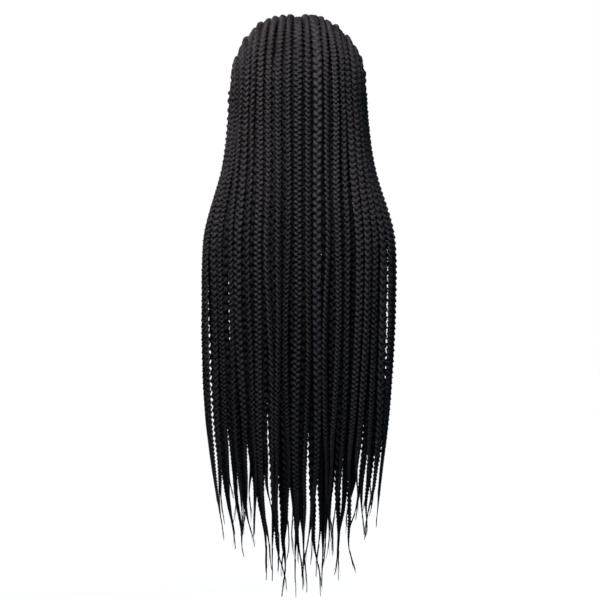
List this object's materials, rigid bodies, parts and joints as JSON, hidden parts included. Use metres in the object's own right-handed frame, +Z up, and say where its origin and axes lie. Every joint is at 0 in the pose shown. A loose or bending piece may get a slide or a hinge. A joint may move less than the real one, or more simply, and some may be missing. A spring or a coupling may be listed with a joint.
{
  "type": "braid wig",
  "caption": "Long black box-braid wig with a centre parting: a hollow stretch cap and layered three-strand braids hanging down the back to wispy tips.",
  "frame": {"origin": "crown of the head, on the inside of the cap where the head meets it", "axes": "+Z up, the wearer faces -Y, +X to the wearer's left; the braids hang along -Z"},
  "size_m": [0.2909, 0.2162, 0.8727],
  "materials": {
    "hair_black": "satin synthetic hair",
    "cap_net": "matt stretch net"
  },
  "bodies": {
    "root": {"cap": "cap_net", "braid_outer_01": "hair_black", "braid_outer_02": "hair_black", "braid_outer_03": "hair_black", "braid_outer_04": "hair_black", "braid_outer_05": "hair_black", "braid_outer_06": "hair_black", "braid_outer_07": "hair_black", "braid_outer_08": "hair_black", "braid_outer_09": "hair_black", "braid_outer_10": "hair_black", "braid_outer_11": "hair_black", "braid_outer_12": "hair_black", "braid_outer_13": "hair_black", "braid_outer_14": "hair_black", "braid_outer_15": "hair_black", "braid_outer_16": "hair_black", "braid_outer_17": "hair_black", "braid_outer_18": "hair_black", "braid_outer_19": "hair_black", "braid_outer_20": "hair_black", "braid_outer_21": "hair_black", "braid_outer_22": "hair_black", "braid_outer_23": "hair_black", "braid_middle_01": "hair_black", "braid_middle_02": "hair_black", "braid_middle_03": "hair_black", "braid_middle_04": "hair_black", "braid_middle_05": "hair_black", "braid_middle_06": "hair_black", "braid_middle_07": "hair_black", "braid_middle_08": "hair_black", "braid_middle_09": "hair_black", "braid_middle_10": "hair_black", "braid_middle_11": "hair_black", "braid_middle_12": "hair_black", "braid_middle_13": "hair_black", "braid_middle_14": "hair_black", "braid_middle_15": "hair_black", "braid_middle_16": "hair_black", "braid_middle_17": "hair_black", "braid_middle_18": "hair_black", "braid_middle_19": "hair_black", "braid_middle_20": "hair_black", "braid_nape_01": "hair_black", "braid_nape_02": "hair_black", "braid_nape_03": "hair_black", "braid_nape_04": "hair_black", "braid_nape_05": "hair_black", "braid_nape_06": "hair_black", "braid_nape_07": "hair_black", "braid_nape_08": "hair_black", "braid_nape_09": "hair_black", "braid_nape_10": "hair_black", "braid_nape_11": "hair_black", "braid_nape_12": "hair_black", "braid_nape_13": "hair_black", "braid_nape_14": "hair_black", "braid_nape_15": "hair_black", "braid_nape_16": "hair_black"}
  },
  "joints": []
}
